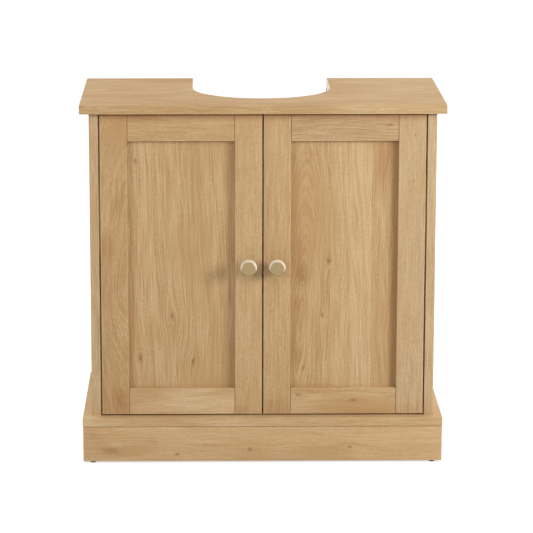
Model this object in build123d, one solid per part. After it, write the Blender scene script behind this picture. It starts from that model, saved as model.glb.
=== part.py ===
from build123d import *

import os
from math import sqrt

# Sink base cabinet for a pedestal basin, in millimetres.
# X runs left to right seen from the front, Y from front to back, Z up.
# The origin is under the middle of the whole outline, on the floor.

# ---- Driving dimensions ----

# Carcase
width = 600.0               # top and base board, left to right
depth = 300.0               # top and base board, front to back
board = 15.0                # thickness of every carcase board
body_height = 512.0         # side panels, between the base and the top
top_overhang = 15.0         # top and base past the side panels and the doors
plinth_height = 60.0
plinth_setback = 0.5        # plinth boards in from the base board's edges
edge_round = 0.8            # rounding of the wrapped boards' edges

# Basin cut-out, the same U in the top, shelf and base
cutout_width = 230.5
cutout_front = 73.0         # from the top's front edge to the front of the U
edging_thickness = 1.0      # pale strip that lines the cut-out in the top

# Centre post, behind the doors' meeting edges
post_width = 30.0
post_door_clearance = 1.0
post_dowel_spacing = 16.0
bumper_radius = 3.5
bumper_thickness = 0.7
bumper_spacing = 16.0       # one behind each door's edge
bumper_inset = 60.0         # from the post's top and bottom

# Shelf
shelf_side_clearance = 1.5
shelf_end_clearance = 1.0   # to the centre post and to the back panels

# Shelf supports
support_pin_radius = 2.5
support_pin_depth = 10.0
support_collar_radius = 4.0
support_collar_length = 1.0
support_tab_length = 9.0
support_tab_width = 10.0
support_tab_thickness = 3.0
support_inset = 35.0        # from the shelf's front and back edges
support_pitch = 32.0        # between the rows of holes

# Doors
door_gap = 2.5              # round each door, and between the two
door_thickness = 16.0
rail_width = 44.5
panel_thickness = 5.0
panel_recess = 9.0          # panel's face behind the frame's face
groove_depth = 5.0
groove_clearance = 0.1      # each side of the panel and of the tenons
panel_expansion_gap = 0.5   # panel's edge to the bottom of its groove

# Concealed hinges
hinge_end_distance = 90.0   # from the door's top and bottom edges
door_swing_clearance = 0.3  # door's front corner to the side panel as it turns
pivot_inset = 15.0          # from the door's hinge edge to the pivot
cup_radius = 17.5
cup_wall = 1.0
cup_edge_distance = 3.0     # from the door's hinge edge to the cup's bore
cup_groove_wall = 1.5       # wood between the cup's bore and the groove
cup_bore_clearance = 0.1
flange_thickness = 1.2
flange_rim = 1.0            # flange past the cup's wall
flange_screw_spacing = 48.0
flange_screw_offset = 9.5   # from the cup's centre, away from the hinge edge
flange_screw_land = 6.5     # flange round each screw's centre
hinge_pin_radius = 1.5
hinge_pin_recess = 0.3      # pin's ends inside the cup's outer wall
pivot_clearance = 0.05      # knuckle on the pin
knuckle_radius = 2.9
knuckle_cup_clearance = 0.4
arm_thickness = 2.0
arm_width = 12.0
arm_door_clearance = 2.0    # arm to the open door
arm_leg_length = 36.0
arm_leg_width = 18.0
arm_leg_flange = 5.0        # the leg's two folded edges
arm_leg_wall = 1.5
plate_height = 9.5          # arm's leg above the side panel
plate_block_width = 14.0
plate_wing_width = 11.0
plate_wing_length = 46.0
plate_wing_thickness = 2.0
plate_screw_spacing = 32.0
arm_screw_inset = 9.0       # from the ends of the arm's leg

# Small screws of the hinges
small_screw_radius = 1.75
small_screw_head_radius = 3.2
small_screw_head_height = 1.2
flange_screw_depth = 9.0
plate_screw_depth = 11.0
arm_screw_depth = 5.0

# Knobs
knob_radius = 13.8          # at its widest
knob_face_radius = 11.4
knob_projection = 25.0
knob_head_length = 12.0
knob_taper_length = 8.0     # from the face back to the widest part
knob_face_round = 0.8
knob_shoulder_round = 10.0
knob_back_round = 1.6
knob_neck_radius = 5.5
knob_foot_radius = 8.0
knob_foot_length = 2.5
knob_screw_radius = 2.0
knob_screw_hole_radius = 2.3
knob_screw_head_radius = 4.0
knob_screw_head_height = 2.4
knob_thread_depth = 9.0

# Fasteners of the carcase
fastener_clearance = 0.05
cam_radius = 7.5
cam_depth = 12.5
cam_setback = 34.0          # from the joint to the cam's centre
cam_inset = 60.0            # from the panels' edges
cam_slot_width = 1.4
cam_slot_reach = 4.5        # from the cam's centre
cam_slot_depth = 2.0
bolt_radius = 2.5
bolt_head_radius = 3.5
bolt_head_length = 6.0
bolt_channel_radius = 4.0
board_hole_depth = 10.0     # bolts and dowels into the top and base boards
dowel_radius = 4.0
dowel_upright_depth = 20.0
dowel_end_clearance = 0.5
dowel_inset = 26.0          # from the panels' edges
wall_hole_radius = 2.5
wall_hole_inset = 60.0      # from the back panels' top and bottom

# Plinth
block_size = 22.0           # square glue blocks in the plinth's corners
plinth_screw_radius = 1.75
plinth_screw_bite = 10.0    # into the plinth boards
plinth_screw_head_radius = 3.5
plinth_screw_head_height = 2.0
plinth_screw_inset = 16.0   # from the block's top and bottom

# Glides
glide_radius = 5.0
glide_height = 3.0
glide_inset = 16.0          # from the plinth's side faces
glide_round = 1.2
nail_radius = 1.1
nail_length = 13.0
nail_start = 1.4            # above the floor, inside the glide

# How far a cutting shape runs past a face
past = 1.0

# ---- Levels and faces ----

base_bottom = glide_height + plinth_height
base_top = base_bottom + board
body_top = base_top + body_height
total_height = body_top + board

knob_overhang = max(0.0, knob_projection - top_overhang)
top_front = (knob_overhang - depth) / 2
back_face = top_front + depth
body_front = top_front + top_overhang

side_outer = width / 2 - top_overhang
side_inner = side_outer - board
back_panel_front = back_face - board
half_cutout = cutout_width / 2
cutout_centre = top_front + cutout_front + half_cutout

# ---- Door and hinge places, for the left door ----

door_left = -side_inner + door_gap
door_right = -door_gap / 2
door_bottom = base_top + door_gap
door_top = body_top - door_gap
door_middle = (door_bottom + door_top) / 2
door_back = body_front + door_thickness

# The stile is as wide as the hinge's cup and the panel's groove need.
cup_centre = door_left + cup_edge_distance + cup_radius
stile_width = cup_edge_distance + 2 * cup_radius + cup_groove_wall + groove_depth
panel_front = body_front + panel_recess
knob_x = door_right - stile_width / 2

# The pivot lies as far back as lets the door's front corner swing past the side.
corner_reach = pivot_inset + door_gap - door_swing_clearance
pivot_depth = sqrt(corner_reach**2 - pivot_inset**2)
pivot_x = door_left + pivot_inset
pivot_y = body_front + pivot_depth
cup_floor = pivot_y - knuckle_radius - knuckle_cup_clearance
cup_bottom = cup_floor - cup_wall

# The arm leaves the cup, then passes behind the corner that the door sweeps.
swept_radius = sqrt(pivot_inset**2 + (door_back - pivot_y) ** 2)
arm_cross_y = pivot_y + swept_radius + arm_door_clearance + arm_thickness / 2
arm_rise_x = pivot_x + door_back + flange_thickness - pivot_y + arm_door_clearance + arm_thickness / 2
arm_leg_x = -side_inner + plate_height + arm_thickness / 2
arm_leg_end = arm_cross_y + arm_leg_length
lower_hinge_z = door_bottom + hinge_end_distance
upper_hinge_z = door_top - hinge_end_distance

# ---- Centre post and shelf places ----

post_front = door_back + post_door_clearance
post_back = post_front + board
shelf_front = post_back + shelf_end_clearance
shelf_back = back_panel_front - shelf_end_clearance
shelf_bottom = (base_top + body_top - board) / 2
support_z = shelf_bottom - support_tab_thickness / 2
front_support_y = shelf_front + support_inset
back_support_y = shelf_back - support_inset


# ---- Helpers ----

def block(x0, x1, y0, y1, z0, z1):
    """A box between two values on each axis."""
    box = Box(x1 - x0, y1 - y0, z1 - z0, align=(Align.MIN, Align.MIN, Align.MIN))
    return Pos(x0, y0, z0) * box


def rod(start, direction, radius, length):
    """A round bar from a point along a direction."""
    plane = Plane(origin=start, z_dir=direction)
    return plane * Cylinder(radius, length, align=(Align.CENTER, Align.CENTER, Align.MIN))


def rounded(part, radius):
    """The board with every outer edge rounded."""
    return fillet(part.edges(), radius)


def group(solids):
    """Several separate solids as one node."""
    return Compound(children=list(solids))


def mirrored(part):
    """The same piece for the other side of the cabinet."""
    return mirror(part, about=Plane.YZ)


def cutout(grow, z0, z1):
    """The U that the basin's pedestal stands in, open at the back."""
    radius = half_cutout + grow
    height = z1 - z0
    bow = Pos(0, cutout_centre, z0) * Cylinder(radius, height, align=(Align.CENTER, Align.CENTER, Align.MIN))
    return bow + block(-radius, radius, cutout_centre, back_face + board, z0, z1)


# ---- Cams and dowels that join the uprights to the top and base ----
# A joint's plane has +Z going into the top or base, and +X out of the upright's inner face.

def cam(plane):
    bolt_way = Pos(0, 0, -cam_setback - bolt_head_length / 2)
    way = bolt_way * Cylinder(bolt_channel_radius, cam_setback, align=(Align.CENTER, Align.CENTER, Align.MIN))
    disc = rod((board / 2, 0, -cam_setback), (-1, 0, 0), cam_radius, cam_depth)
    slot_depth = board / 2 - cam_slot_depth
    reach = cam_slot_reach
    half_slot = cam_slot_width / 2
    upright_slot = block(slot_depth, board, -half_slot, half_slot, -cam_setback - reach, -cam_setback + reach)
    level_slot = block(slot_depth, board, -reach, reach, -cam_setback - half_slot, -cam_setback + half_slot)
    return plane * (disc - way - upright_slot - level_slot)


def cam_bolt(plane):
    shank = rod((0, 0, -cam_setback), (0, 0, 1), bolt_radius, cam_setback + board_hole_depth)
    head = rod((0, 0, -cam_setback - bolt_head_length / 2), (0, 0, 1), bolt_head_radius, bolt_head_length)
    return plane * (shank + head)


def cam_holes(plane):
    """Everything that a cam and its bolt need cut out of both boards."""
    gap = fastener_clearance
    hole_depth = board_hole_depth + dowel_end_clearance
    board_hole = rod((0, 0, -past), (0, 0, 1), bolt_radius + gap, past + hole_depth)
    channel = rod((0, 0, -cam_setback), (0, 0, 1), bolt_channel_radius, cam_setback)
    pocket = rod((board / 2 + past, 0, -cam_setback), (-1, 0, 0), cam_radius + gap, past + cam_depth + gap)
    return plane * (board_hole + channel + pocket)


def dowel(plane, upright_depth=dowel_upright_depth):
    return plane * rod((0, 0, -upright_depth), (0, 0, 1), dowel_radius, upright_depth + board_hole_depth)


def dowel_hole(plane, upright_depth=dowel_upright_depth):
    start = -upright_depth - dowel_end_clearance
    length = upright_depth + board_hole_depth + 2 * dowel_end_clearance
    return plane * rod((0, 0, start), (0, 0, 1), dowel_radius + fastener_clearance, length)


def upright_joints(inset_front, inset_back):
    """Joint planes of the side and back panels, at the base and at the top."""
    side_middle = side_outer - board / 2
    back_middle = back_face - board / 2
    back_panel_width = side_inner - half_cutout
    planes = []
    for z, up in ((body_top, 1), (base_top, -1)):
        for side in (-1, 1):
            for y in (body_front + inset_front, back_face - inset_back):
                origin = (side * side_middle, y, z)
                planes.append(Plane(origin=origin, x_dir=(-side, 0, 0), z_dir=(0, 0, up)))
            x = side * (half_cutout + back_panel_width * inset_back / (inset_front + inset_back))
            planes.append(Plane(origin=(x, back_middle, z), x_dir=(0, -1, 0), z_dir=(0, 0, up)))
    return planes


def post_joints():
    """Joint planes of the centre post, two at each end."""
    middle_y = post_front + board / 2
    return [Plane(origin=(side * post_dowel_spacing / 2, middle_y, z), x_dir=(0, -1, 0), z_dir=(0, 0, up))
            for z, up in ((body_top, 1), (base_top, -1)) for side in (-1, 1)]


cam_planes = upright_joints(cam_inset, cam_inset)
dowel_planes = upright_joints(dowel_inset, dowel_inset + board) + post_joints()


def carcase_holes():
    cuts = [cam_holes(plane) for plane in cam_planes]
    return cuts + [dowel_hole(plane) for plane in dowel_planes]


# ---- Plinth places ----

plinth_outer = width / 2 - plinth_setback
plinth_inner = plinth_outer - board
plinth_front_face = top_front + plinth_setback
plinth_front_back = plinth_front_face + board
plinth_middle_y = plinth_front_face + board / 2
plinth_middle_x = plinth_outer - board / 2


def plinth_dowel_planes():
    """Dowels from the plinth boards up into the base."""
    reach = plinth_outer - 3 * dowel_inset
    places = [(x, plinth_middle_y) for x in (-reach, 0, reach)]
    for side in (-1, 1):
        for y in (plinth_front_back + dowel_inset + block_size, back_face - dowel_inset - block_size):
            places.append((side * plinth_middle_x, y))
    return [Plane(origin=(x, y, base_bottom), z_dir=(0, 0, 1)) for x, y in places]


def glue_blocks():
    """Lowest X and Y of each square glue block."""
    return [(side * (plinth_inner - block_size / 2) - block_size / 2, y)
            for side in (-1, 1) for y in (plinth_front_back, back_face - block_size)]


def block_screws():
    """Start and direction of the two screws in each glue block."""
    low = glide_height + plinth_screw_inset
    high = base_bottom - plinth_screw_inset
    front_y = plinth_front_back + block_size
    screws = []
    for side in (-1, 1):
        outward = (side, 0, 0)
        inner_x = side * (plinth_inner - block_size)
        middle_x = side * (plinth_inner - block_size / 2)
        screws.append(((inner_x, front_y - block_size / 2, low), outward))
        screws.append(((middle_x, front_y, high), (0, -1, 0)))
        for z in (low, high):
            screws.append(((inner_x, back_face - block_size / 2, z), outward))
    return screws


def plinth_screw(start, way):
    head_start = tuple(s - w * plinth_screw_head_height for s, w in zip(start, way))
    shank = rod(start, way, plinth_screw_radius, block_size + plinth_screw_bite)
    head = rod(head_start, way, plinth_screw_head_radius, plinth_screw_head_height)
    return shank + head


def plinth_screw_hole(start, way):
    length = block_size + plinth_screw_bite + dowel_end_clearance
    return rod(start, way, plinth_screw_radius + fastener_clearance, length)


def glide_places():
    """Front glides under the front board, back ones under the side boards."""
    front_x = plinth_outer - glide_inset
    places = [(side * front_x, plinth_middle_y) for side in (-1, 1)]
    return places + [(side * plinth_middle_x, back_face - glide_inset) for side in (-1, 1)]


def nail_hole(x, y):
    radius = nail_radius + fastener_clearance
    return rod((x, y, nail_start), (0, 0, 1), radius, nail_length + fastener_clearance)


# ---- Carcase pieces ----

def worktop():
    slab = rounded(block(-width / 2, width / 2, top_front, back_face, body_top, total_height), edge_round)
    return slab - cutout(edging_thickness, body_top - past, total_height + past) - carcase_holes()


def top_edging():
    outer = cutout(edging_thickness, body_top, total_height)
    strip = outer - cutout(0, body_top - past, total_height + past)
    return strip & block(-width, width, top_front, back_face, body_top, total_height)


def side_panel():
    """The left one."""
    panel = block(-side_outer, -side_inner, body_front, back_face, base_top, body_top)
    front = panel.faces().sort_by(Axis.Y)[0].edges().filter_by(Axis.Z)
    panel = fillet(front, edge_round)
    cuts = carcase_holes()
    hole_radius = support_pin_radius + fastener_clearance
    hole_depth = support_pin_depth + dowel_end_clearance
    for z in (support_z - support_pitch, support_z, support_z + support_pitch):
        for y in (front_support_y, back_support_y):
            cuts.append(rod((-side_inner, y, z), (-1, 0, 0), hole_radius, hole_depth))
    for z in (lower_hinge_z, upper_hinge_z):
        cuts += [small_screw_hole(*place, plate_screw_depth) for place in plate_screw_places(z)]
    return panel - cuts


def base_panel():
    slab = rounded(block(-width / 2, width / 2, top_front, back_face, base_bottom, base_top), edge_round)
    cuts = carcase_holes() + [dowel_hole(plane, board_hole_depth) for plane in plinth_dowel_planes()]
    return slab - cutout(0, base_bottom - past, base_top + past) - cuts


def plinth_cuts():
    cuts = [dowel_hole(plane, board_hole_depth) for plane in plinth_dowel_planes()]
    cuts += [plinth_screw_hole(*screw) for screw in block_screws()]
    return cuts + [nail_hole(x, y) for x, y in glide_places()]


def plinth_front():
    panel = block(-plinth_outer, plinth_outer, plinth_front_face, plinth_front_back,
                  glide_height, base_bottom)
    panel = fillet(panel.faces().sort_by(Axis.Y)[0].edges(), edge_round)
    return panel - plinth_cuts()


def plinth_side():
    """The left one."""
    panel = block(-plinth_outer, -plinth_inner, plinth_front_back, back_face,
                  glide_height, base_bottom)
    return panel - plinth_cuts()


def plinth_blocks():
    holes = [plinth_screw_hole(*screw) for screw in block_screws()]
    return group(block(x, x + block_size, y, y + block_size, glide_height, base_bottom) - holes
                 for x, y in glue_blocks())


def back_panel():
    """The left one, with its two holes for screws into the wall."""
    panel = block(-side_inner, -half_cutout, back_panel_front, back_face, base_top, body_top)
    x = -(side_inner + half_cutout) / 2
    holes = [rod((x, back_panel_front - past, z), (0, 1, 0), wall_hole_radius, board + 2 * past)
             for z in (base_top + wall_hole_inset, body_top - wall_hole_inset)]
    return panel - holes - carcase_holes()


def centre_post():
    """The doors close against it, and it shows dark in the gap between them."""
    post = block(-post_width / 2, post_width / 2, post_front, post_back, base_top, body_top)
    front = post.faces().sort_by(Axis.Y)[0].edges().filter_by(Axis.Z)
    return fillet(front, edge_round) - carcase_holes()


def door_bumpers():
    """Round pads on the centre post, two behind each door."""
    places = [(side * bumper_spacing / 2, post_front, z)
              for side in (-1, 1) for z in (base_top + bumper_inset, body_top - bumper_inset)]
    return group(rod(place, (0, -1, 0), bumper_radius, bumper_thickness) for place in places)


def shelf():
    reach = side_inner - shelf_side_clearance
    panel = block(-reach, reach, shelf_front, shelf_back, shelf_bottom, shelf_bottom + board)
    front = panel.faces().sort_by(Axis.Y)[0].edges().filter_by(Axis.X)
    return fillet(front, edge_round) - cutout(0, shelf_bottom - past, shelf_bottom + board + past)


def shelf_support(side, y):
    wall = side * side_inner
    pin = rod((wall, y, support_z), (side, 0, 0), support_pin_radius, support_pin_depth)
    collar = rod((wall, y, support_z), (-side, 0, 0), support_collar_radius, support_collar_length)
    x0, x1 = sorted((wall, wall - side * support_tab_length))
    half_tab = support_tab_width / 2
    tab = block(x0, x1, y - half_tab, y + half_tab, shelf_bottom - support_tab_thickness, shelf_bottom)
    return pin + collar + tab


def glide(x, y):
    disc = rod((x, y, 0), (0, 0, 1), glide_radius, glide_height)
    disc = fillet(disc.faces().sort_by(Axis.Z)[0].edges(), glide_round)
    return disc - nail_hole(x, y)


def glide_nail(x, y):
    return rod((x, y, nail_start), (0, 0, 1), nail_radius, nail_length)


# ---- Door pieces, for the left door ----

def groove(x0, x1, z0, z1):
    """The slot that the panel and the tenons sit in."""
    return block(x0, x1, panel_front - groove_clearance,
                 panel_front + panel_thickness + groove_clearance, z0, z1)


def face_rounded(part):
    """The board with its front face's edges rounded."""
    return fillet(part.faces().sort_by(Axis.Y)[0].edges(), edge_round)


def stile(x0, groove_x0):
    """A full-height upright of the door's frame, with its groove."""
    upright = block(x0, x0 + stile_width, body_front, door_back, door_bottom, door_top)
    slot = groove(groove_x0, groove_x0 + groove_depth, door_bottom - past, door_top + past)
    return face_rounded(upright) - slot


def hinge_stile():
    upright = stile(door_left, door_left + stile_width - groove_depth)
    cuts = []
    for z in (lower_hinge_z, upper_hinge_z):
        bore_depth = door_back - cup_bottom + cup_bore_clearance
        cuts.append(rod((cup_centre, door_back + past, z), (0, -1, 0),
                        cup_radius + cup_bore_clearance, past + bore_depth))
        cuts += [small_screw_hole(*place, flange_screw_depth) for place in flange_screw_places(z)]
    return upright - cuts


def lock_stile():
    left = door_right - stile_width
    hole = rod((knob_x, body_front - past, door_middle), (0, 1, 0),
               knob_screw_hole_radius, door_thickness + 2 * past)
    return stile(left, left) - hole


def rail(z0, groove_z0, tenon_z0):
    """A cross piece between the stiles, with its groove and a tenon at each end."""
    left = door_left + stile_width
    right = door_right - stile_width
    body = face_rounded(block(left, right, body_front, door_back, z0, z0 + rail_width))
    body -= groove(left - past, right + past, groove_z0, groove_z0 + groove_depth)
    reach = groove_depth - panel_expansion_gap
    tenon_z1 = tenon_z0 + rail_width - groove_depth
    for x0, x1 in ((left - reach, left), (right, right + reach)):
        body += block(x0, x1, panel_front, panel_front + panel_thickness, tenon_z0, tenon_z1)
    return body


def top_rail():
    """Its groove is along the lower edge, below the tenons."""
    z0 = door_top - rail_width
    return rail(z0, z0, z0 + groove_depth)


def bottom_rail():
    """Its groove is along the upper edge, above the tenons."""
    return rail(door_bottom, door_bottom + rail_width - groove_depth, door_bottom)


def door_panel():
    reach = groove_depth - panel_expansion_gap
    return block(door_left + stile_width - reach, door_right - stile_width + reach,
                 panel_front, panel_front + panel_thickness,
                 door_bottom + rail_width - reach, door_top - rail_width + reach)


# ---- Knob, for the left door ----

def knob():
    """A round knob with a flat face and a tapered rim, turned about its screw."""
    head_start = knob_projection - knob_head_length
    taper_start = knob_projection - knob_taper_length
    with BuildPart() as turned:
        with BuildSketch(Plane.XY):
            with BuildLine():
                Polyline((0, 0), (knob_foot_radius, 0), (knob_foot_radius, knob_foot_length),
                         (knob_neck_radius, 2 * knob_foot_length), (knob_neck_radius, head_start),
                         (knob_radius, head_start), (knob_radius, taper_start),
                         (knob_face_radius, knob_projection), (0, knob_projection), close=True)
            make_face()
        revolve(axis=Axis.Y)
        rims = turned.edges().filter_by(GeomType.CIRCLE).sort_by(Axis.Y)
        back_rim, shoulder, face_rim = rims[-3:]
        fillet(back_rim, knob_back_round)
        fillet(shoulder, knob_shoulder_round)
        fillet(face_rim, knob_face_round)
    placed = Pos(knob_x, body_front, door_middle) * Rot(0, 0, 180) * turned.part
    thread = rod((knob_x, body_front, door_middle), (0, -1, 0),
                 knob_screw_radius + fastener_clearance, knob_thread_depth + dowel_end_clearance)
    return placed - thread


def knob_screw():
    start = (knob_x, door_back, door_middle)
    shank = rod(start, (0, -1, 0), knob_screw_radius, door_thickness + knob_thread_depth)
    head = rod(start, (0, 1, 0), knob_screw_head_radius, knob_screw_head_height)
    return shank + fillet(head.faces().sort_by(Axis.Y)[-1].edges(), knob_screw_head_height / 2)


# ---- Hinges, for the left door ----

def small_screw(start, way, length):
    """A small screw: its head stands on the start point, its shank goes along the way."""
    back = tuple(-w for w in way)
    shank = rod(start, way, small_screw_radius, length)
    head = rod(start, back, small_screw_head_radius, small_screw_head_height)
    rim = head.faces().sort_by(Axis(start, back))[-1].edges()
    return shank + fillet(rim, small_screw_head_height / 2)


def small_screw_hole(start, way, length):
    return rod(start, way, small_screw_radius + fastener_clearance, length + dowel_end_clearance)


def flange_screw_places(z):
    x = cup_centre + flange_screw_offset
    y = door_back + flange_thickness
    return [((x, y, z + side * flange_screw_spacing / 2), (0, -1, 0)) for side in (-1, 1)]


def plate_screw_places(z):
    """In the wings of the mounting plate."""
    x = -side_inner + plate_wing_thickness
    y = arm_cross_y + plate_wing_width
    return [((x, y, z + side * plate_screw_spacing / 2), (-1, 0, 0)) for side in (-1, 1)]


def arm_screw_places(z):
    x = arm_leg_x + arm_thickness / 2
    front = arm_cross_y + arm_screw_inset
    return [((x, y, z), (-1, 0, 0)) for y in (front, arm_leg_end - arm_screw_inset)]


def hinge_cup(z):
    """The cup let into the door, with the flange that is screwed to the door's back."""
    mouth = door_back + flange_thickness
    body = rod((cup_centre, cup_bottom, z), (0, 1, 0), cup_radius, mouth - cup_bottom)
    rim = rod((cup_centre, door_back, z), (0, 1, 0), cup_radius + flange_rim, flange_thickness)
    land = flange_screw_land
    screw_x = cup_centre + flange_screw_offset
    reach = flange_screw_spacing / 2 + land
    wing = block(screw_x - land, screw_x + land, door_back, mouth, z - reach, z + reach)
    wing = fillet(wing.edges().filter_by(Axis.Y), land / 2)
    hollow = rod((cup_centre, cup_floor, z), (0, 1, 0), cup_radius - cup_wall, mouth - cup_floor + past)
    pin_way = rod((pivot_x, pivot_y, z - cup_radius), (0, 0, 1),
                  hinge_pin_radius + fastener_clearance, 2 * cup_radius)
    screws = [small_screw_hole(*place, flange_screw_depth) for place in flange_screw_places(z)]
    return body + rim + wing - hollow - pin_way - screws


def hinge_pin(z):
    far_side = abs(cup_centre - pivot_x) + hinge_pin_radius
    across = sqrt(cup_radius**2 - far_side**2) - hinge_pin_recess
    return rod((pivot_x, pivot_y, z - across), (0, 0, 1), hinge_pin_radius, 2 * across)


def strip(points, z):
    """A bent flat strip that follows a line of points in X and Y."""
    half = arm_width / 2
    pieces = []
    for (x0, y0), (x1, y1) in zip(points, points[1:]):
        length = sqrt((x1 - x0) ** 2 + (y1 - y0) ** 2)
        plane = Plane(origin=(x0, y0, z), x_dir=(x1 - x0, y1 - y0, 0), z_dir=(0, 0, 1))
        flat = Box(length, arm_thickness, arm_width, align=(Align.MIN, Align.CENTER, Align.CENTER))
        pieces.append(plane * flat)
    bends = [rod((x, y, z - half), (0, 0, 1), arm_thickness / 2, arm_width) for x, y in points[1:-1]]
    return Part() + pieces + bends


def hinge_arm(z):
    """A cranked arm: knuckle on the pin, out of the cup, round the door's corner, then along the side."""
    first_bend = (arm_rise_x, pivot_y + knuckle_radius + arm_thickness)
    path = [(pivot_x, pivot_y), first_bend, (arm_rise_x, arm_cross_y), (arm_leg_x, arm_cross_y),
            (arm_leg_x, arm_leg_end)]
    half = arm_width / 2
    knuckle = rod((pivot_x, pivot_y, z - half), (0, 0, 1), knuckle_radius, arm_width)
    bore = rod((pivot_x, pivot_y, z - half - past), (0, 0, 1),
               hinge_pin_radius + pivot_clearance, arm_width + 2 * past)
    half_leg = arm_leg_width / 2
    leg_front = arm_cross_y + arm_thickness
    face = arm_leg_x + arm_thickness / 2
    leg = block(face - arm_thickness, face, leg_front, arm_leg_end, z - half_leg, z + half_leg)
    for z0 in (z - half_leg, z + half_leg - arm_leg_wall):
        leg += block(face - arm_leg_flange, face, leg_front, arm_leg_end, z0, z0 + arm_leg_wall)
    screws = [small_screw_hole(*place, arm_screw_depth) for place in arm_screw_places(z)]
    return strip(path, z) + knuckle + leg - bore - screws


def mounting_plate(z):
    """The block that carries the arm, with wings screwed to the side panel."""
    wall = -side_inner
    top = wall + plate_height
    wing_y = arm_cross_y + plate_wing_width
    half_wing = plate_wing_width / 2
    half_block = plate_block_width / 2
    body = block(wall, top, arm_cross_y + arm_thickness, arm_leg_end, z - half_block, z + half_block)
    wing = block(wall, wall + plate_wing_thickness, wing_y - half_wing, wing_y + half_wing,
                 z - plate_wing_length / 2, z + plate_wing_length / 2)
    wing = fillet(wing.edges().filter_by(Axis.X), half_wing / 2)
    screws = [small_screw_hole(*place, plate_screw_depth) for place in plate_screw_places(z)]
    screws += [small_screw_hole(*place, arm_screw_depth) for place in arm_screw_places(z)]
    return body + wing - screws


# ---- Every node ----

def both_sides(name, part):
    """The left piece and its mirror image on the right."""
    return {"left_" + name: part, "right_" + name: mirrored(part)}


def carcase():
    support_places = [(side, y) for side in (-1, 1) for y in (front_support_y, back_support_y)]
    nodes = {
        "top_panel": worktop(),
        "top_cutout_edging": top_edging(),
        "base_panel": base_panel(),
        "plinth_front": plinth_front(),
        "plinth_corner_blocks": plinth_blocks(),
        "centre_post": centre_post(),
        "door_bumpers": door_bumpers(),
        "shelf": shelf(),
        "shelf_supports": group(shelf_support(side, y) for side, y in support_places),
        "cam_locks": group(cam(plane) for plane in cam_planes),
        "cam_bolts": group(cam_bolt(plane) for plane in cam_planes),
        "carcase_dowels": group(dowel(plane) for plane in dowel_planes),
        "plinth_dowels": group(dowel(plane, board_hole_depth) for plane in plinth_dowel_planes()),
        "plinth_screws": group(plinth_screw(*screw) for screw in block_screws()),
        "glides": group(glide(x, y) for x, y in glide_places()),
        "glide_nails": group(glide_nail(x, y) for x, y in glide_places()),
    }
    nodes.update(both_sides("side_panel", side_panel()))
    nodes.update(both_sides("back_panel", back_panel()))
    nodes.update(both_sides("plinth_side", plinth_side()))
    return nodes


def doors():
    nodes = {}
    pieces = {
        "door_hinge_stile": hinge_stile(),
        "door_lock_stile": lock_stile(),
        "door_top_rail": top_rail(),
        "door_bottom_rail": bottom_rail(),
        "door_panel": door_panel(),
        "knob": knob(),
        "knob_screw": knob_screw(),
    }
    for name, part in pieces.items():
        nodes.update(both_sides(name, part))
    return nodes


def hinges():
    nodes = {}
    for level, z in (("lower", lower_hinge_z), ("upper", upper_hinge_z)):
        nodes.update(both_sides(level + "_hinge_cup", hinge_cup(z)))
        nodes.update(both_sides(level + "_hinge_pin", hinge_pin(z)))
        nodes.update(both_sides(level + "_hinge_arm", hinge_arm(z)))
        nodes.update(both_sides(level + "_hinge_plate", mounting_plate(z)))
    screws = {
        "hinge_cup_screws": (flange_screw_places, flange_screw_depth),
        "hinge_plate_screws": (plate_screw_places, plate_screw_depth),
        "hinge_arm_screws": (arm_screw_places, arm_screw_depth),
    }
    for name, (places, length) in screws.items():
        solids = [small_screw(*place, length) for z in (lower_hinge_z, upper_hinge_z) for place in places(z)]
        nodes["left_" + name] = group(solids)
        nodes["right_" + name] = group(mirrored(solid) for solid in solids)
    return nodes


def main():
    os.makedirs("parts", exist_ok=True)
    for name, part in {**carcase(), **doors(), **hinges()}.items():
        export_step(part, f"parts/{name}.step")


main()
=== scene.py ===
from math import cos, radians, sin

import bpy
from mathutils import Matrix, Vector

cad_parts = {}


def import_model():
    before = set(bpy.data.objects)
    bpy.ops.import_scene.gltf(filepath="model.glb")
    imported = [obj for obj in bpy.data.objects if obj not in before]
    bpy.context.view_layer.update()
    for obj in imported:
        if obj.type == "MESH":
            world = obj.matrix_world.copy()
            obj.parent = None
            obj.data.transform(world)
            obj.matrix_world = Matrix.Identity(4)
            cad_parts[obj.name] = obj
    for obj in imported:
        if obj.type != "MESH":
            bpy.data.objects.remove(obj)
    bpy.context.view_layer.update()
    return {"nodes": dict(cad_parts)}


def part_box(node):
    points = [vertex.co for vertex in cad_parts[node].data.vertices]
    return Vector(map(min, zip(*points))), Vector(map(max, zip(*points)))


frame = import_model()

sides = ("left", "right")


# ---- Shader helpers ----

def srgb(red, green, blue):
    """A colour given as 0 to 255, as a shader's colour."""
    def linear(level):
        share = level / 255
        return share / 12.92 if share <= 0.04045 else ((share + 0.055) / 1.055) ** 2.4
    return (linear(red), linear(green), linear(blue), 1.0)


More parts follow.
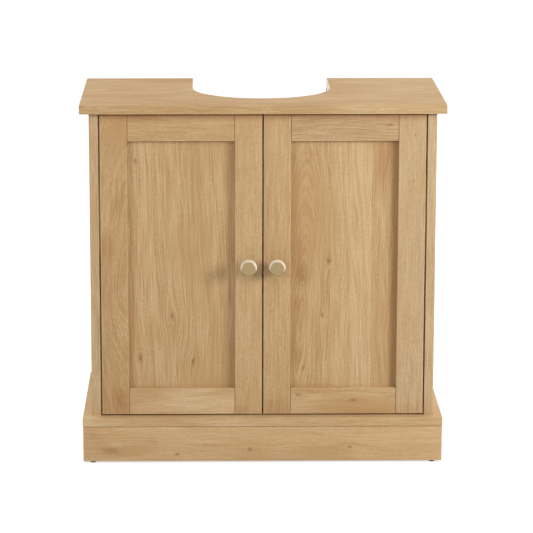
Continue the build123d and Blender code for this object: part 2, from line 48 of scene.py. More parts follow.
class Nodes:
    """A node tree, with short ways to add and join its nodes."""

    def __init__(self, tree):
        self.tree = tree
        tree.nodes.clear()

    def add(self, kind, inputs=None, **settings):
        node = self.tree.nodes.new(kind)
        for name, value in settings.items():
            setattr(node, name, value)
        for name, value in (inputs or {}).items():
            self.feed(node.inputs[name], value)
        return node

    def feed(self, socket, value):
        """Join a socket to another one, or give it a plain value."""
        if isinstance(value, bpy.types.NodeSocket):
            self.tree.links.new(value, socket)
        else:
            socket.default_value = value

    def math(self, operation, *values):
        node = self.add("ShaderNodeMath", operation=operation)
        for socket, value in zip(node.inputs, values):
            self.feed(socket, value)
        return node.outputs[0]

    def times(self, first, second):
        return self.math("MULTIPLY", first, second)

    def minus(self, first, second):
        return self.math("SUBTRACT", first, second)

    def plus(self, *values):
        total = values[0]
        for value in values[1:]:
            total = self.math("ADD", total, value)
        return total

    def vector(self, x, y, z):
        return self.add("ShaderNodeCombineXYZ", {"X": x, "Y": y, "Z": z}).outputs[0]

    def length(self, vector):
        node = self.add("ShaderNodeVectorMath", operation="LENGTH")
        self.feed(node.inputs[0], vector)
        return node.outputs["Value"]

    def noise(self, vector, scale=1.0, detail=2.0, roughness=0.5):
        """Noise from 0 to 1 with its middle at 0.5."""
        inputs = {"Vector": vector, "Scale": scale, "Detail": detail, "Roughness": roughness}
        return self.add("ShaderNodeTexNoise", inputs).outputs[0]

    def swing(self, value, amount):
        """A 0 to 1 value turned into one that swings evenly about 0."""
        return self.times(self.minus(value, 0.5), amount)

    def steps(self, value, low, high, to_low=0.0, to_high=1.0):
        """A smooth change from one level to another as the value goes from low to high."""
        node = self.add("ShaderNodeMapRange", interpolation_type="SMOOTHSTEP")
        for socket, given in zip(node.inputs, (value, low, high, to_low, to_high)):
            self.feed(socket, given)
        return node.outputs[0]

    def hill(self, across, along, width, length):
        """1 at a spot's middle, falling away over its width and length."""
        sideways = self.math("DIVIDE", across, width)
        lengthways = self.math("DIVIDE", along, length)
        square = self.plus(self.times(sideways, sideways), self.times(lengthways, lengthways))
        return self.math("EXPONENT", self.times(square, -1.0))

    def ramp(self, value, stops):
        """A colour that runs through stops of (place, colour) as the value goes from 0 to 1."""
        node = self.add("ShaderNodeValToRGB", {"Fac": value})
        points = node.color_ramp.elements
        while len(points) < len(stops):
            points.new(0.5)
        for point, (place, colour) in zip(points, stops):
            point.position = place
            point.color = colour
        return node.outputs["Color"]

    def mix(self, share, first, second):
        """The first colour, with a share of the second one."""
        node = self.add("ShaderNodeMix", data_type="RGBA")
        self.feed(node.inputs["Factor"], share)
        self.feed(node.inputs[6], first)
        self.feed(node.inputs[7], second)
        return node.outputs[2]

    def object_parts(self, kind):
        """X, Y and Z of the point's place, in metres, or of its normal, in the piece's own frame."""
        vector = self.add("ShaderNodeTexCoord").outputs[kind]
        return self.add("ShaderNodeSeparateXYZ", {"Vector": vector}).outputs

    def edge_mask(self, radius):
        """1 along the piece's edges, 0 on its flat faces: there a rounded normal agrees with the true one."""
        rounded = self.add("ShaderNodeBevel", {"Radius": radius}, samples=4).outputs[0]
        true_normal = self.add("ShaderNodeNewGeometry").outputs["Normal"]
        agreement = self.add("ShaderNodeVectorMath", operation="DOT_PRODUCT")
        self.feed(agreement.inputs[0], rounded)
        self.feed(agreement.inputs[1], true_normal)
        return self.steps(agreement.outputs["Value"], 0.97, 0.80)

    def bump(self, height, distance, strength):
        inputs = {"Height": height, "Distance": distance, "Strength": strength}
        return self.add("ShaderNodeBump", inputs).outputs[0]

    def surface(self, inputs):
        shader = self.add("ShaderNodeBsdfPrincipled", inputs)
        output = self.add("ShaderNodeOutputMaterial")
        self.feed(output.inputs["Surface"], shader.outputs[0])


def new_material(name):
    material = bpy.data.materials.new(name)
    material.use_nodes = True
    return material, Nodes(material.node_tree)


def dress(names, material):
    for name in names:
        mesh = frame["nodes"][name].data
        mesh.materials.clear()
        mesh.materials.append(material)


# ---- Wood: its grain ----

def new_group(name, inputs, outputs):
    """An empty node group with number sockets of these names, its nodes and what it is given."""
    tree = bpy.data.node_groups.new(name, "ShaderNodeTree")
    for sockets, direction in ((inputs, "INPUT"), (outputs, "OUTPUT")):
        for socket in sockets:
            tree.interface.new_socket(socket, in_out=direction, socket_type="NodeSocketFloat")
    g = Nodes(tree)
    return tree, g, g.add("NodeGroupInput").outputs


def knot_group():
    """Bends the grain round one knot and marks its dark heart."""
    inputs = ("Across", "Along", "Across centre", "Along centre", "Size")
    tree, g, given = new_group("knot", inputs, ("Across", "Heart"))
    across = g.minus(given["Across"], given["Across centre"])
    along = g.minus(given["Along"], given["Along centre"])
    size = given["Size"]

    def reach(width, length):
        """How near a point is to the knot, whose mark is so many sizes wide and long."""
        return g.hill(across, along, g.times(size, width), g.times(size, length))

    pinch = g.times(g.times(across, reach(1.8, 4.0)), 0.85)
    g.add("NodeGroupOutput", {"Across": g.minus(given["Across"], pinch), "Heart": reach(0.38, 0.7)})
    return tree


def grain_group():
    """Oak grain: rings that follow nested arches up the board, and fine fibres and pores along it."""
    inputs = ("Across", "Along", "Depth", "Arch centre", "Arch foot", "Arch slope", "Ripple")
    tree, g, given = new_group("oak_grain", inputs, ("Shade", "Flecks", "Warmth", "Pores"))
    across, along, depth = given["Across"], given["Along"], given["Depth"]

    def cloud(side_place, fineness, along_fineness, detail):
        """Soft patches, their fineness given in patches to a metre."""
        place = g.vector(g.times(side_place, fineness), g.times(along, along_fineness), depth)
        return g.noise(place, 1.0, detail)

    # The grain wanders slowly, and its lines are cuts through a leaning cone.
    wander = cloud(across, 7.0, 2.2, detail=2.0)
    waver = cloud(across, 36.0, 11.0, detail=1.0)
    placed = g.plus(across, g.swing(wander, 0.04), g.swing(waver, given["Ripple"]))
    side = g.minus(placed, given["Arch centre"])
    rise = g.times(g.minus(along, given["Arch foot"]), given["Arch slope"])
    ring = g.math("SQRT", g.plus(g.times(side, side), g.times(rise, rise)))

    def streak(side_place, fineness, stretch, detail=1.0):
        """Streaks, so many to a metre, each stretched along the grain by so many times its width."""
        place = g.vector(g.times(side_place, fineness), g.times(along, fineness / stretch),
                         g.times(depth, fineness))
        return g.noise(place, 1.0, detail, 0.6)

    bands = g.swing(streak(ring, 30.0, stretch=10.0), 0.34)
    rings = g.swing(streak(ring, 130.0, stretch=36.0), 0.24)
    lines = g.swing(streak(ring, 400.0, stretch=74.0), 0.57)
    two_fibres = g.plus(streak(ring, 760.0, stretch=50.0), streak(placed, 700.0, stretch=44.0), -0.5)
    fibres = g.swing(two_fibres, 0.95)
    flecks = g.swing(streak(placed, 620.0, stretch=3.0, detail=0.0), 0.33)
    warm_patches = cloud(ring, 16.0, 5.0, detail=2.0)
    pores = streak(placed, 950.0, stretch=14.0, detail=0.0)
    g.add("NodeGroupOutput", {
        "Shade": g.plus(bands, rings, lines, fibres), "Flecks": flecks,
        "Warmth": g.steps(warm_patches, 0.42, 0.68), "Pores": g.steps(pores, 0.62, 0.74)})
    return tree


knot_tree = knot_group()
grain_tree = grain_group()


# ---- Wood: its finish ----

oak = (srgb(172, 134, 88), srgb(196, 163, 119), srgb(214, 186, 145))
pale_oak = (srgb(170, 137, 97), srgb(193, 163, 123), srgb(211, 186, 149))
# A lighter, warmer copy of oak for the plinth: painted light that makes up for the lamps' weaker light near
# the floor.
plinth_oak = (srgb(180, 139, 92), srgb(204, 168, 123), srgb(220, 190, 148))
beech = (srgb(190, 150, 104), srgb(208, 172, 126), srgb(222, 190, 146))
pine = (srgb(196, 158, 104), srgb(222, 190, 138), srgb(234, 208, 162))
tone_places = (0.1, 0.5, 0.9)   # where the dark, middle and light colour stand between dark and light

oak_warm = srgb(186, 146, 99)
oak_heart = srgb(142, 94, 58)
oak_edge = srgb(228, 204, 164)
# The colour of dark seams at joints, and of painted shadow lines under overhangs and rails.
oak_seam = srgb(96, 50, 16)
# The colour of stains, and of painted warm shadows and warm painted light.
oak_stain = srgb(166, 116, 74)

board_change = 3.7       # metres from one board of a panel to the next in the tree
heart_strength = 0.7
pore_strength = 0.2
wear_reach = 0.0035      # metres over which a fully paled edge pales: wear, and a painted highlight along it


def joined_boards(n, across, joins, depth, shift, warmed):
    """From one glue line to the next, the board comes from another place in the tree."""
    for join_place, tone_change, warm_change in joins:
        passed = n.math("GREATER_THAN", across, join_place)
        depth = n.plus(depth, n.times(passed, board_change))
        shift = n.plus(shift, n.times(passed, tone_change))
        warmed = n.plus(warmed, n.times(passed, warm_change))
    return depth, shift, warmed


def bent_round_knots(n, across, along, knots):
    """The place across the board with the grain bent round its knots, and their dark hearts."""
    hearts = 0.0
    for knot_place in knots:
        knot = n.add("ShaderNodeGroup", node_tree=knot_tree)
        for socket, value in zip(knot.inputs, (across, along, *knot_place)):
            n.feed(socket, value)
        across = knot.outputs["Across"]
        hearts = n.math("MAXIMUM", knot.outputs["Heart"], hearts)
    return across, hearts


def stained(n, colour, across, along, stains, figure):
    """The colour with its soft patches: stains, and painted light and shade."""
    # The dark lines of the grain take each patch almost three times as strongly as the light ones.
    taken = n.steps(figure, 0.3, -0.3, 0.5, 1.4)
    for across_centre, along_centre, width, length, strength in stains:
        from_centre = (n.minus(across, across_centre), n.minus(along, along_centre))
        patch = n.times(n.hill(*from_centre, width, length), abs(strength))
        colour = n.mix(n.times(patch, taken), colour, oak_stain if strength > 0 else oak_edge)
    return colour


def darkened_at_joints(n, colour, place, shades, seams):
    """The colour with its wide warm painted shadows, and the dark lines over them: seams at joints, and
    painted shadow lines.
    """
    normal = n.object_parts("Normal")
    for lines, tint in ((shades, oak_stain), (seams, oak_seam)):
        for axis, line_place, reach, strength in lines:
            away = n.math("ABSOLUTE", n.minus(place[axis], line_place))
            near = n.steps(away, reach, reach * 0.2, 0.0, strength)
            # A face that looks along the axis isn't crossed by the line.
            crossed = n.steps(n.math("ABSOLUTE", normal[axis]), 0.9, 0.5)
            colour = n.mix(n.times(near, crossed), colour, tint)
    return colour


def wood(name, axes, arch=(0.0, -1.5, 0.03), seed=0.0, contrast=1.0, tone=0.0, ripple=0.004, warmed=0.5,
         joins=(), knots=(), stains=(), shades=(), seams=(), tones=oak, worn=0.5):
    """Matt wood, with its places in metres.

    axes names the axis that the grain runs along, then the one that crosses it on the face most seen.
    arch is the nested arches' centre across the board, their foot along it, and their slope.
    seed is the depth in the tree that the piece was cut from, and ripple how far its grain lines waver.
    contrast is the strength of the figure, tone a shift from dark towards light, and warmed the share of
    the warm patches. tones are the dark, middle and light colour of the wood, and worn the
    paleness of its edges, from wear and from a painted highlight along them.
    joins are the glue lines between boards, as (across, change of tone, change of warmth).
    knots are (across, along, size).
    stains are soft reddish patches, or pale ones below a strength of 0, as (across,
    along, width, length, strength): most are stains, and some are painted light and shade.
    seams are dark lines: seams where the piece meets another, and painted shadow under
    an overhang or a rail. shades are wide warm painted shadows. Both are given as (axis, place,
    reach, strength). They mark the faces that they cross, and leave the edge that lies along them clean.
    """
    material, n = new_material(name)
    place = n.object_parts("Object")
    along, across = place[axes[0]], place[axes[1]]
    third_axis = "XYZ".replace(axes[0], "").replace(axes[1], "")
    depth = n.plus(place[third_axis], seed)
    depth, shift, warmed = joined_boards(n, across, joins, depth, tone + 0.5, warmed)
    across, hearts = bent_round_knots(n, across, along, knots)
    grain = n.add("ShaderNodeGroup", node_tree=grain_tree)
    for socket, value in zip(grain.inputs, (across, along, depth, *arch, ripple)):
        n.feed(socket, value)
    figure, flecks, warmth, pores = grain.outputs
    shade = n.plus(n.times(figure, contrast), flecks, shift)

    colour = n.ramp(shade, list(zip(tone_places, tones)))
    colour = n.mix(n.times(warmth, warmed), colour, oak_warm)
    colour = n.mix(n.times(pores, pore_strength), colour, tones[0])
    if knots:
        colour = n.mix(n.times(hearts, heart_strength), colour, oak_heart)
    colour = stained(n, colour, across, along, stains, figure)
    # The edges pale: wear, and a painted highlight along them.
    wear = n.times(n.edge_mask(wear_reach * worn), worn)
    colour = n.mix(wear, colour, oak_edge)
    # Dark seams at joints, and painted shadows under overhangs and rails and beside the stiles.
    colour = darkened_at_joints(n, colour, place, shades, seams)

    roughness = n.plus(0.62, n.swing(shade, -0.12), n.times(n.plus(pores, wear), 0.1))
    n.surface({"Base Color": colour, "Roughness": roughness, "Specular IOR Level": 0.15,
               "Normal": n.bump(n.minus(shade, pores), distance=0.0001, strength=0.45)})
    return material


def dress_in_wood(node, material_name, axes, **look):
    dress([node], wood(material_name, axes, **look))


# ---- Wood: where the pieces meet ----

# How far each dark seam and each painted shadow reaches, in metres, and its strength.
plinth_seam = (0.0014, 0.75)
# Painted shadow under the top's overhang, along a side panel's top.
side_panel_seam = (0.0065, 0.8)
back_panel_seam = (0.0015, 0.6)
# A painted shadow line and a wider painted shadow under the top's overhang, along a door's top.
door_top_seam = (0.0028, 0.95)
door_top_shade = (0.014, 0.38)
rail_end_seam = (0.0019, 0.85)
# Painted shadow in a door's recess, under its top rail.
panel_top_seam = (0.0032, 0.85)

# The painted shadows that a door's two stiles cast on its recessed panel, from left to right, reach equally
# far and differ in strength.
stile_shade_reach = 0.012
stile_shades = {"left": (0.06, 0.17), "right": (0.18, 0.46)}


def box_ends(name, axis):
    """The two places, along one axis, where a node begins and ends."""
    low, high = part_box(name)
    index = "XYZ".index(axis)
    return low[index], high[index]


def top_line(name, reach, strength):
    """A line along a piece's top edge, where it meets, or hides under, the piece above: used for dark seams at
    joints, and for painted shadow under an overhang.
    """
    return ("Z", box_ends(name, "Z")[1], reach, strength)


def opening(side, axis):
    """The two places, along X or Z, between which a door's frame is open."""
    pieces = {"X": ("hinge_stile", "lock_stile"), "Z": ("bottom_rail", "top_rail")}[axis]
    ends = [end for piece in pieces for end in box_ends(f"{side}_door_{piece}", axis)]
    return sorted(ends)[1:3]


def crevices(side):
    """Where a door's panel meets its frame: a painted shadow line under the top rail, and painted shadows
    beside the stiles, where the frame shades the recessed panel.
    """
    places_and_strengths = zip(opening(side, "X"), stile_shades[side])
    shades = [("X", place, stile_shade_reach, strength) for place, strength in places_and_strengths]
    return {"shades": shades, "seams": [("Z", opening(side, "Z")[1], *panel_top_seam)]}


# ---- Wood: each piece ----

def dress_boards():
    dress_in_wood(
        "top_panel", "oak_top", "XY", arch=(0.02, -0.75, 0.05), seed=3.1, contrast=0.98, warmed=0.7,
        stains=[(-0.054, -0.275, 0.004, 0.012, 0.4), (0.033, -0.202, 0.004, 0.020, 0.35),
                (-0.120, 0.140, 0.004, 0.018, 0.4), (-0.085, 0.105, 0.004, 0.012, 0.35),
                (0.110, 0.152, 0.006, 0.020, -0.3),
                # These two broad patches are painted light: the top's left half darker and its right half
                # paler, as the light from the right falls on it.
                (0.03, -0.220, 0.200, 0.120, 0.13), (0.03, 0.210, 0.200, 0.120, -0.17)],
        joins=[(-0.086, 0.04, 0.0), (-0.024, -0.05, 0.15), (0.045, 0.04, -0.1), (0.108, -0.02, 0.1)])
    dress_in_wood(
        "base_panel", "oak_base", "XY", arch=(0.05, 0.9, 0.05), seed=5.3, contrast=0.8, tone=0.2,
        # These two pale patches are painted light: the ledge's ends paler where the side panels shade them.
        stains=[(-0.02, -0.293, 0.200, 0.010, -0.45), (-0.02, 0.293, 0.200, 0.010, -0.15)],
        joins=[(-0.07, 0.03, 0.0), (0.0, -0.04, 0.1), (0.075, 0.04, 0.0)])
    dress_in_wood(
        "shelf", "oak_shelf", "XY", arch=(0.03, -0.9, 0.05), seed=7.9, contrast=0.9,
        joins=[(-0.03, -0.04, 0.1), (0.04, 0.05, -0.1)])
    dress_in_wood("centre_post", "oak_centre_post", "ZX", seed=15.0, contrast=0.8)


def dress_plinth_front():
    dress_in_wood(
        "plinth_front", "oak_plinth", "XZ", arch=(0.16, -0.25, 0.04), seed=9.2, contrast=0.55, tone=0.08,
        # The plinth's lighter copy of oak is painted light.
        ripple=0.008, tones=plinth_oak, seams=[top_line("plinth_front", *plinth_seam)],
        stains=[(0.046, -0.281, 0.007, 0.014, 0.35), (0.021, -0.257, 0.005, 0.014, 0.6),
                (0.032, -0.244, 0.004, 0.013, -0.4), (0.039, -0.190, 0.004, 0.016, 0.3)],
        knots=[(0.015, -0.143, 0.006), (0.023, -0.021, 0.005), (0.0275, 0.146, 0.005),
               (0.022, -0.246, 0.0025)])


def dress_side(side, seed):
    """One side's plinth board, side panel and back panel."""
    plinth_side = side + "_plinth_side"
    side_panel = side + "_side_panel"
    back_panel = side + "_back_panel"
    dress_in_wood(
        plinth_side, f"oak_{side}_plinth_side", "YZ", arch=(0.1, -0.6, 0.05), seed=seed,
        seams=[top_line(plinth_side, *plinth_seam)])
    # The side panel's top has a painted shadow under the top's overhang.
    dress_in_wood(
        side_panel, f"oak_{side}_side", "ZY", arch=(-0.03, -0.55, 0.035), seed=seed + 10, contrast=0.8,
        tone=0.07, tones=pale_oak, joins=[(-0.062, -0.05, 0.1), (0.012, 0.07, -0.1), (0.083, -0.04, 0.1)],
        seams=[top_line(side_panel, *side_panel_seam)])
    dress_in_wood(
        back_panel, f"oak_{side}_back", "ZX", arch=(0.0, -0.9, 0.05), seed=seed + 12, contrast=0.9,
        seams=[top_line(back_panel, *back_panel_seam)])


def dress_door_panels():
    # Each panel gets painted shadows where its frame shades its recess.
    dress_in_wood(
        "left_door_panel", "oak_left_panel", "ZX", arch=(-0.34, -0.1, 0.12), seed=21.7, contrast=0.88,
        warmed=0.35, joins=[(-0.142, -0.05, 0.05)], **crevices("left"),
        knots=[(-0.210, 0.509, 0.006), (-0.150, 0.247, 0.007), (-0.204, 0.175, 0.007), (-0.116, 0.169, 0.006)])
    dress_in_wood(
        "right_door_panel", "oak_right_panel", "ZX", arch=(0.066, 0.22, 0.12), seed=33.4, contrast=0.8,
        tone=-0.06, ripple=0.012, **crevices("right"),
        joins=[(0.112, 0.1, -0.2), (0.146, 0.1, -0.3), (0.180, -0.21, 0.4)],
        stains=[(0.062, 0.336, 0.013, 0.040, 0.45), (0.081, 0.520, 0.006, 0.012, 0.3),
                (0.197, 0.515, 0.016, 0.050, 0.45), (0.057, 0.267, 0.006, 0.010, 0.4),
                (0.056, 0.185, 0.010, 0.020, 0.3)],
        knots=[(0.1095, 0.340, 0.008), (0.0988, 0.2485, 0.006), (0.068, 0.157, 0.003)])


stile_looks = {
    "left_door_hinge_stile": dict(
        arch=(-0.225, 0.325, 0.14), seed=41.2, contrast=0.6, tone=-0.1, ripple=0.012, warmed=0.7,
        stains=[(-0.238, 0.446, 0.012, 0.030, 0.35), (-0.256, 0.370, 0.012, 0.026, 0.45),
                (-0.246, 0.300, 0.020, 0.035, 0.3), (-0.243, 0.100, 0.016, 0.022, 0.6),
                (-0.262, 0.150, 0.008, 0.080, 0.25)]),
    "left_door_lock_stile": dict(
        arch=(-0.3, -0.9, 0.03), seed=43.8, contrast=0.5, warmed=0.15,
        # The patch at the foot is painted warm light, bounced up from the base panel.
        stains=[(-0.040, 0.088, 0.012, 0.010, 0.35)]),
    "right_door_lock_stile": dict(
        arch=(0.3, -0.9, 0.03), seed=45.5, contrast=0.64, tone=-0.05, warmed=0.6,
        # The first patch, at the foot, is painted warm light, bounced up from the base panel.
        stains=[(0.020, 0.092, 0.022, 0.014, 0.35), (0.005, 0.42, 0.007, 0.10, 0.3),
                (0.012, 0.355, 0.020, 0.030, 0.15)]),
    "right_door_hinge_stile": dict(
        arch=(0.5, -0.9, 0.03), seed=47.1, contrast=0.54, tone=0.02, warmed=0.25, tones=pale_oak,
        # The patch at the foot is painted warm light, bounced up from the base panel.
        stains=[(0.245, 0.090, 0.022, 0.010, 0.3)],
        knots=[(0.2495, 0.553, 0.003), (0.248, 0.475, 0.003)]),
}

rail_looks = {
    "left_door_top_rail": dict(
        arch=(0.3, -0.8, 0.04), seed=51.0, contrast=0.6, tone=-0.05, ripple=0.002,
        stains=[(0.583, -0.194, 0.007, 0.03, 0.3)]),
    "left_door_bottom_rail": dict(
        arch=(0.2, 0.3, 0.04), seed=53.0, contrast=0.85, tone=0.23, warmed=0.75),
    "right_door_top_rail": dict(
        arch=(0.35, -0.8, 0.05), seed=55.0, contrast=0.95, tone=-0.06, ripple=0.003, warmed=0.1,
        tones=pale_oak, knots=[(0.570, 0.208, 0.005)]),
    "right_door_bottom_rail": dict(
        arch=(0.06, 0.5, 0.06), seed=57.0, tone=0.05, warmed=0.9,
        knots=[(0.113, 0.059, 0.006), (0.104, 0.151, 0.006)]),
}


def dress_door_frames():
    for name, look in stile_looks.items():
        # Each stile and top rail gets a painted shadow under the top's overhang along its top; the rails get
        # dark seams at their ends.
        dress_in_wood(name, "oak_" + name, "ZX", worn=0.8, shades=[top_line(name, *door_top_shade)],
                      seams=[top_line(name, *door_top_seam)], **look)
    for name, look in rail_looks.items():
        side = name.split("_")[0]
        shades = []
        seams = [("X", place, *rail_end_seam) for place in opening(side, "X")]
        if "top" in name:
            shades.append(top_line(name, *door_top_shade))
            seams.append(top_line(name, *door_top_seam))
        dress_in_wood(name, "oak_" + name, "XZ", worn=0.8, shades=shades, seams=seams, **look)


def dress_dowels_and_blocks():
    dress_in_wood("carcase_dowels", "beech_dowel", "ZX", seed=61.0, tones=beech)
    dress_in_wood("plinth_dowels", "beech_plinth_dowel", "ZX", seed=63.0, tones=beech)
    dress_in_wood("plinth_corner_blocks", "softwood_block", "ZX", seed=65.0, tones=pine)


# ---- Other materials ----

def pale_edging():
    """Pale strip with fine fibres that run along it."""
    material, n = new_material("pale_edging")
    x, y, z = n.object_parts("Object")
    fibres = n.noise(n.vector(n.times(x, 40.0), n.times(y, 40.0), n.times(z, 900.0)))
    colour = n.ramp(fibres, [(0.3, srgb(236, 222, 208)), (0.7, srgb(250, 243, 236))])
    colour = n.mix(n.times(n.edge_mask(0.0006), 0.3), colour, srgb(214, 190, 160))
    n.surface({"Base Color": colour, "Roughness": n.plus(0.45, n.swing(fibres, 0.15)),
               "Normal": n.bump(fibres, distance=0.00005, strength=0.4)})
    return material


# Where a knob's flank begins and ends, in metres behind its face, each with its soft edge.
flank_begins = (0.0001, 0.0008)
flank_ends = (0.0128, 0.0115)


def knob_metal(side):
    """Champagne metal with fine turned lines: satin, with a painted highlight, pale and less metallic, on the
    flank's upper side.
    """
    low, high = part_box(side + "_knob")
    middle = (low + high) / 2
    material, n = new_material(side + "_champagne_brass")
    x, y, z = n.object_parts("Object")
    radius = n.length(n.vector(n.minus(x, middle.x), 0.0, n.minus(z, middle.z)))
    behind_face = n.minus(y, low.y)
    flank = n.times(n.steps(behind_face, *flank_begins), n.steps(behind_face, *flank_ends))
    # The painted highlight is all on top, where light from above falls, and only a little of it underneath.
    pale = n.times(flank, n.steps(n.object_parts("Normal")["Z"], -0.75, 0.1, 0.15, 1.0))
    cloud = n.noise(n.vector(x, y, z), 260.0, 3.0)
    turned = n.noise(n.vector(n.times(radius, 5200.0), 0.0, 0.0), 1.0, 1.0)
    metal = n.mix(cloud, srgb(152, 132, 97), srgb(162, 143, 107))
    # The painted highlight's colour.
    coat = n.mix(cloud, srgb(245, 238, 220), srgb(252, 246, 230))
    n.surface({"Base Color": n.mix(pale, metal, coat), "Metallic": n.steps(pale, 0.0, 1.0, 1.0, 0.2),
               "Roughness": n.plus(0.45, n.swing(cloud, 0.08), n.swing(turned, 0.06)),
               "Normal": n.bump(turned, distance=0.00001, strength=0.3)})
    return material


def plated(name, first, second, roughness, scale):
    """Plated metal with a faint cloud, fine scratches and duller edges."""
    material, n = new_material(name)
    x, y, z = n.object_parts("Object")
    cloud = n.noise(n.vector(x, y, z), scale, 3.0)
    scratches = n.noise(n.vector(n.times(x, 300.0), n.times(y, 2500.0), n.times(z, 2500.0)))
    wear = n.edge_mask(0.0005)
    colour = n.mix(cloud, first, second)
    colour = n.mix(n.times(wear, 0.3), colour, second)
    rough = n.plus(roughness, n.swing(cloud, 0.14), n.swing(scratches, 0.1), n.times(wear, 0.08))
    n.surface({"Base Color": colour, "Metallic": 1.0, "Roughness": rough,
               "Normal": n.bump(scratches, distance=0.00002, strength=0.4)})
    return material


def glide_plastic():
    """Grey plastic with a fine moulded texture and paler edges."""
    material, n = new_material("grey_glide")
    x, y, z = n.object_parts("Object")
    grain = n.noise(n.vector(x, y, z), 1400.0, 3.0)
    colour = n.ramp(grain, [(0.3, srgb(92, 90, 86)), (0.7, srgb(116, 113, 108))])
    colour = n.mix(n.times(n.edge_mask(0.0006), 0.4), colour, srgb(134, 131, 126))
    n.surface({"Base Color": colour, "Roughness": n.plus(0.55, n.swing(grain, 0.2)),
               "Normal": n.bump(grain, distance=0.00005, strength=0.5)})
    return material


def soft_pad():
    """Pale soft plastic with a fine matt texture."""
    material, n = new_material("soft_pad")
    x, y, z = n.object_parts("Object")
    grain = n.noise(n.vector(x, y, z), 2600.0, 2.0)
    colour = n.mix(grain, srgb(206, 206, 200), srgb(226, 226, 221))
    colour = n.mix(n.times(n.edge_mask(0.0003), 0.4), colour, srgb(188, 187, 180))
    n.surface({"Base Color": colour, "Roughness": n.plus(0.4, n.swing(grain, 0.2)),
               "Normal": n.bump(grain, distance=0.00003, strength=0.5)})
    return material


def nodes_ending(*endings):
    return [name for name in frame["nodes"] if name.endswith(endings)]


def dress_fittings():
    dress(["top_cutout_edging"], pale_edging())
    for side in sides:
        dress([side + "_knob"], knob_metal(side))
    nickel = plated("nickel_plated_steel", srgb(152, 150, 145), srgb(176, 174, 169), 0.38, 90.0)
    dress(nodes_ending("hinge_cup", "hinge_pin", "hinge_arm", "hinge_plate"), nickel)
    zinc = plated("zinc_plated_screws", srgb(186, 188, 190), srgb(208, 206, 198), 0.36, 160.0)
    dress(nodes_ending("screws", "knob_screw", "glide_nails"), zinc)
    cast = plated("zinc_fittings", srgb(168, 168, 168), srgb(190, 190, 188), 0.45, 120.0)
    dress(["cam_locks", "cam_bolts", "shelf_supports"], cast)
    dress(["glides"], glide_plastic())
    dress(["door_bumpers"], soft_pad())


# ---- Floor, light and camera ----

white = (1, 1, 1, 1)
floor_half = 14.0                       # half the floor's width, in metres
floor_bounce = (0.62, 0.62, 0.62, 1)    # the floor's grey as it lights the object
floor_seen = (0.5, 0.5, 0.5, 1)         # the floor's grey as it is seen, without its glow
glow_near = (0.6, 0.68)                 # metres from the floor's middle, and the glow's strength there
glow_far = (2.2, 1.0)
ambient = 0.03                          # the strength of the even light on the object

# Each lamp's azimuth and elevation in degrees, distance and size in metres, and watts.
lamps = {
    "key_right": (56, 16, 2.1, 0.65, 29.5),
    "fill_left": (-50, 17, 2.1, 0.85, 15),
    "overhead_front": (0, 44, 2.6, 1.3, 12),
    "overhead": (0, 84, 2.4, 1.6, 3),
    "side_left": (-118, 33, 2.8, 1.5, 33),
    "side_right": (118, 33, 2.8, 1.5, 36),
    "back": (180, 57, 3.2, 1.6, 16),
}
lamp_target = Vector((0, 0, 0.32))

photo_width = 533                       # pixels
focal_length = 2596.7                   # pixels
sensor_width = 36.0                     # millimetres
camera_shift = (0.05, -0.06)            # shares of the photograph's width
camera_place = (-0.0862, -4.3177, 1.2687)
camera_dip = 11.888                     # degrees below the level
camera_turn = -0.66                     # degrees to the left of straight ahead


def seen_directly(n):
    """1 for what the camera sees, also through glass or as a reflection."""
    path = n.add("ShaderNodeLightPath").outputs
    seen = n.math("MAXIMUM", path["Is Camera Ray"], path["Is Glossy Ray"])
    return n.math("MAXIMUM", seen, path["Is Transmission Ray"])


def floor_material():
    material, n = new_material("floor")
    seen = seen_directly(n)
    away = n.length(n.add("ShaderNodeTexCoord").outputs["Object"])
    strength = n.steps(away, glow_near[0], glow_far[0], glow_near[1], glow_far[1])
    dull = n.add("ShaderNodeBsdfDiffuse", {"Color": n.mix(seen, floor_bounce, floor_seen)})
    glow = n.add("ShaderNodeEmission", {"Color": white, "Strength": n.times(seen, strength)})
    both = n.add("ShaderNodeAddShader")
    n.feed(both.inputs[0], dull.outputs[0])
    n.feed(both.inputs[1], glow.outputs[0])
    n.add("ShaderNodeOutputMaterial", {"Surface": both.outputs[0]})
    return material


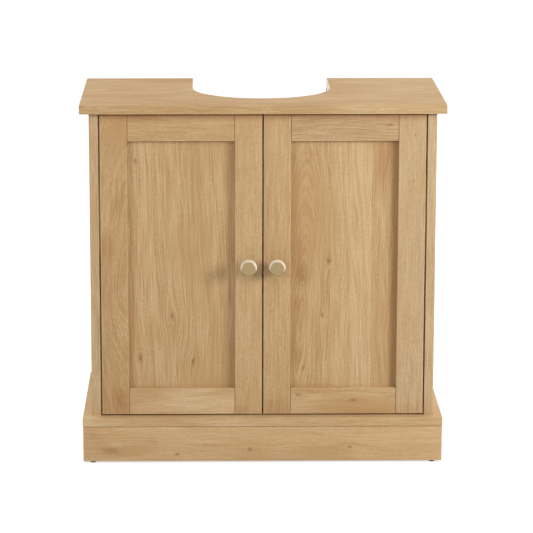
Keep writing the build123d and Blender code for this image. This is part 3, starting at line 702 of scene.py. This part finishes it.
def floor():
    """Pale floor: it lights the object as a pale floor does, and reads as white round it."""
    mesh = bpy.data.meshes.new("floor")
    corners = [(-floor_half, -floor_half, 0), (floor_half, -floor_half, 0),
               (floor_half, floor_half, 0), (-floor_half, floor_half, 0)]
    mesh.from_pydata(corners, [], [(0, 1, 2, 3)])
    mesh.materials.append(floor_material())
    piece = bpy.data.objects.new("floor", mesh)
    bpy.context.scene.collection.objects.link(piece)


def world():
    """White where it is seen, and a faint even light on the object."""
    made = bpy.data.worlds.new("studio")
    made.use_nodes = True
    bpy.context.scene.world = made
    n = Nodes(made.node_tree)
    strength = n.steps(seen_directly(n), 0.0, 1.0, ambient, 1.0)
    sky = n.add("ShaderNodeBackground", {"Color": white, "Strength": strength})
    n.add("ShaderNodeOutputWorld", {"Surface": sky.outputs[0]})


def softbox(name, azimuth, elevation, distance, size, watts):
    """A square lamp that faces the cabinet; azimuth 0 is in front, 90 on its right."""
    turn, lift = radians(azimuth), radians(elevation)
    away = Vector((sin(turn) * cos(lift), -cos(turn) * cos(lift), sin(lift)))
    lamp = bpy.data.lights.new(name, "AREA")
    lamp.shape = "SQUARE"
    lamp.size = size
    lamp.energy = watts
    piece = bpy.data.objects.new(name, lamp)
    piece.location = lamp_target + away * distance
    piece.rotation_euler = (-away).to_track_quat("-Z", "Y").to_euler()
    piece.visible_camera = False
    bpy.context.scene.collection.objects.link(piece)


def camera():
    """The photograph's place and framing."""
    data = bpy.data.cameras.new("camera")
    data.sensor_width = sensor_width
    data.lens = focal_length * sensor_width / photo_width
    data.shift_x, data.shift_y = camera_shift
    piece = bpy.data.objects.new("camera", data)
    piece.location = camera_place
    piece.rotation_euler = (radians(90 - camera_dip), 0, radians(camera_turn))
    bpy.context.scene.collection.objects.link(piece)
    bpy.context.scene.camera = piece


camera()
floor()
world()
for lamp_name, settings in lamps.items():
    softbox(lamp_name, *settings)
dress_boards()
dress_plinth_front()
for side, seed in zip(sides, (1.3, 2.6)):
    dress_side(side, seed)
dress_door_panels()
dress_door_frames()
dress_dowels_and_blocks()
dress_fittings()
bpy.context.scene.view_settings.view_transform = "Standard"
